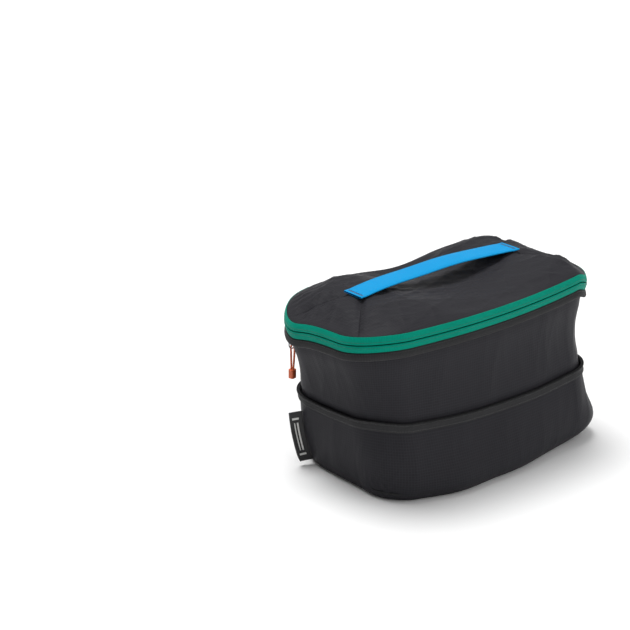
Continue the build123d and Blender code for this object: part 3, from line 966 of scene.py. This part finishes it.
def make_lid(look):
    back_left, front_left = (outline_distance(-dart_x, side * dart_y) for side in (1, -1))
    front_right, back_right = (outline_distance(dart_x, side * dart_y) for side in (-1, 1))
    columns = 230
    front_x, front_y, _ = wall_at(np.linspace(front_left, front_right, columns))
    back_x, back_y, _ = wall_at(np.linspace(back_left + perimeter, back_right, columns))
    inner_x = np.linspace(-strap_x, strap_x, columns) + strap_shift
    rows = []
    inwards = np.linspace(0, 1, 60)
    for share in inwards**1.15:
        row_y = front_y * (1 - share) - strap_half_width * share
        rows.append((front_x * (1 - share) + inner_x * share, row_y))
    for share in np.linspace(0, 1, 16)[1:-1]:
        rows.append((inner_x, np.full(columns, strap_half_width * (2 * share - 1))))
    for share in (1 - inwards) ** 1.15:
        row_y = back_y * (1 - share) + strap_half_width * share
        rows.append((back_x * (1 - share) + inner_x * share, row_y))
    x, y = np.array(rows).transpose(1, 0, 2)
    flat = np.stack((x, y), axis=-1)
    main = grid_piece("lid_main_cloth", lid_points(x, y), flat, look["ripstop"])
    thicken(main, cloth)
    place(main, "lid", "lid_panel")
    for name, node, side, first, last in (
        ("lid_left_cloth", "lid_end_left", -1, back_left, front_left),
        ("lid_right_cloth", "lid_end_right", 1, front_right, back_right),
    ):
        outer_x, outer_y, _ = wall_at(np.linspace(first, last, 90))
        inner_y = np.linspace(-side, side, 90) * strap_half_width
        share = (np.linspace(0, 1, 44) ** 1.15)[:, None]
        x = outer_x * (1 - share) + (side * strap_x + strap_shift) * share
        y = outer_y * (1 - share) + inner_y * share
        flat = np.stack((y, x), axis=-1)
        end = grid_piece(name, lid_points(x, y), flat, look["ripstop"])
        thicken(end, cloth)
        place(end, "lid", node)
    green_zipper_half("upper", "lid", 1, green_mid_high + 0.1 * MM, lid_seam, look)
    edge_strip("lid_seam_binding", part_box("lid_binding")[0][2], lid_seam - 0.5 * MM, look["binding"],
               "lid_binding", "lid")


# ---- Handle ----
def strap_under(x):
    """Height of the strap's underside along its length."""
    end_x = np.array([-1, 1]) * (strap_x - 4 * MM) + strap_shift
    ends = lid_height(end_x, np.zeros(2))
    share = (x + strap_x) / (2 * strap_x)
    level = ends[0] * (1 - share) + ends[1] * share + 0.4 * MM
    free = np.clip(1 - (x / (strap_x - 7 * MM)) ** 2, 0, 1)
    return level + 3.6 * MM * free**0.8 + 0.5 * MM * np.sin(x / (17 * MM)) * free


def make_strap(name, low_x, high_x, node_names, look):
    """Half of the handle strap: a flat webbing with rounded edges and finely notched selvedges."""
    thick, edge = 1.5 * MM, 0.6 * MM
    half = strap_half_width
    section = [(-half, 0.35), (-half + edge, 0.0), (-half * 0.5, -0.02), (0, 0.0), (half * 0.5, -0.02),
               (half - edge, 0.0), (half, 0.35), (half, 0.65), (half - edge, 1.0), (half * 0.5, 1.0),
               (0, 1.02), (-half * 0.5, 1.0), (-half + edge, 1.0), (-half, 0.65)]
    stations = np.linspace(low_x, high_x, 260)
    under = strap_under(stations)
    slope = np.gradient(under, stations)
    points, flat = [], []
    run = 0.0
    places = [0.0]
    for before, after in zip(section, section[1:] + section[:1]):
        run += sqrt((after[0] - before[0]) ** 2 + ((after[1] - before[1]) * thick) ** 2)
        places.append(run)
    for index, (x, z, tilt) in enumerate(zip(stations, under, slope)):
        notch = 0.12 * MM * (index % 2)
        lean = 1 / sqrt(1 + tilt * tilt)
        middle = 1 - (x / strap_x) ** 2
        ring = []
        for y, up in section + section[:1]:
            wide = y - np.sign(y) * (notch if abs(y) == half else 0)
            cup = 0.5 * MM * (y / half) ** 2 * np.clip(middle, 0, 1)
            rise = lean * up * thick
            ring.append((x + strap_shift - tilt * rise, wide + 3 * MM * middle, z + rise - cup))
        points.append(ring)
        flat.append([(x, place) for place in places])
    piece = grid_piece(name, np.array(points), np.array(flat), look["webbing"], flip=True)
    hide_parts(*node_names)
    return piece


def make_bartack(side, word, look):
    """Dense zigzag stitching across the sewn end of the strap."""
    middle = side * (strap_x - 3.8 * MM)
    reach, width, turns = 10 * MM, 1.1 * MM, 26
    points, faces, uvs = [], [], []
    thread = 0.22 * MM
    steps = turns * 2 + 1
    for index in range(steps):
        y = -reach + 2 * reach * index / (steps - 1)
        x = middle + (width if index % 2 else -width)
        z = float(strap_under(np.array([x]))[0]) + 1.5 * MM
        for dx, dz in ((-thread, 0.0), (0, thread * 1.3), (thread, 0.0)):
            points.append((x + strap_shift + dx * 0.3, y + dx, z + dz + 0.05 * MM))
    for index in range(steps - 1):
        for k in range(2):
            a = index * 3 + k
            faces.append([a, a + 3, a + 4, a + 1])
            uvs.extend([(0, 0), (0.002, 0), (0.002, 0.0004), (0, 0.0004)])
    piece = new_piece(f"bartack_{word}", points, faces, uvs, look["blue_thread"])
    place(piece, "lid", f"handle_bartack_{word}")


def make_handle(look):
    ends = {"left": (-strap_x, 0.0), "right": (0.0, strap_x)}
    for word, (low_x, high_x) in ends.items():
        side = -1 if word == "left" else 1
        nodes = [f"handle_end_{word}"] + (["handle_strap"] if word == "left" else [])
        piece = make_strap(f"strap_{word}", low_x, high_x, nodes, look)
        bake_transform(piece)
        make_bartack(side, word, look)


# ---- Side label: woven, caught in the upright seam ----
label_reach = 13 * MM

# Pale bars woven into the label: shares of its height from, to, and of its reach from, to
label_bars = [
    (0.12, 0.16, 0.3, 0.8),
    (0.22, 0.78, 0.38, 0.50),
    (0.22, 0.78, 0.62, 0.70),
    (0.84, 0.88, 0.3, 0.8),
]


def label_sheet(low, high, rise, across):
    """The label's cloth at heights rise and shares across of its reach: points, flat places, root."""
    z, share = np.meshgrid(rise, across, indexing="ij")
    x, y, angle = wall_at(np.full_like(z, corner_distance(label_angle)))
    root = settle(x, y, angle, np.full_like(z, 0.1 * MM), z)
    outward = np.stack((np.cos(angle), np.sin(angle), 0 * angle), axis=-1)
    sideways = np.stack((-np.sin(angle), np.cos(angle), 0 * angle), axis=-1)
    bend = (0.9 * MM * np.sin(z / (high - low) * 5) + 1.5 * MM) * share**2
    points = root + outward * (share * label_reach)[..., None] + sideways * bend[..., None]
    points[..., 2] -= share * 1.2 * MM
    return points, np.stack((share * label_reach, z), axis=-1), root[:, 0], outward[0, 0]


def make_label(look):
    """Woven label caught in the upright seam, with plain pale bars."""
    low, high = (z - drop for z, drop in zip(heights("side_label"), (10 * MM, 7 * MM)))
    sheets = [("label_cloth", 0.0, 1.0, 0.0, 1.0, 0.7 * MM, look["label"])]
    for index, (first, last, near, far) in enumerate(label_bars):
        sheets.append((f"label_bar_{index}", first, last, near, far, 1.0 * MM, look["pale_thread"]))
    for name, first, last, near, far, depth, material in sheets:
        rise = low + (high - low) * np.linspace(first, last, 40)
        points, flat, root, outward = label_sheet(low, high, rise, np.linspace(near, far, 14))
        piece = grid_piece(name, points, flat, material)
        thick = piece.modifiers.new("cloth", "SOLIDIFY")
        thick.thickness = depth
        thick.offset = 0
        if name == "label_cloth":
            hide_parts("side_label")
        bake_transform(piece)


# ---- Build ----
def main():
    make_camera()
    cord_look = cord_material()
    for word in ("compression", "front", "back"):
        make_pull_cord(word, cord_look)
    make_studio()
    look = make_looks()
    make_lower_half(look)
    make_gusset(look)
    make_rim(look)
    make_lid(look)
    make_handle(look)
    make_label(look)
    slider_look = metal_material("slider_metal", (0.62, 0.63, 0.65), 0.18, 0.34, 260)
    wire_look = metal_material("wire_metal", (0.74, 0.75, 0.77), 0.12, 0.26, 300)
    end_look = moulded_material()
    for word in ("compression", "front", "back"):
        for part, finish in (("slider", slider_look), ("wire_pull", wire_look), ("cord_end", end_look)):
            finishes = frame["nodes"][f"{word}_{part}"].data.materials
            finishes.clear()
            finishes.append(finish)


main()
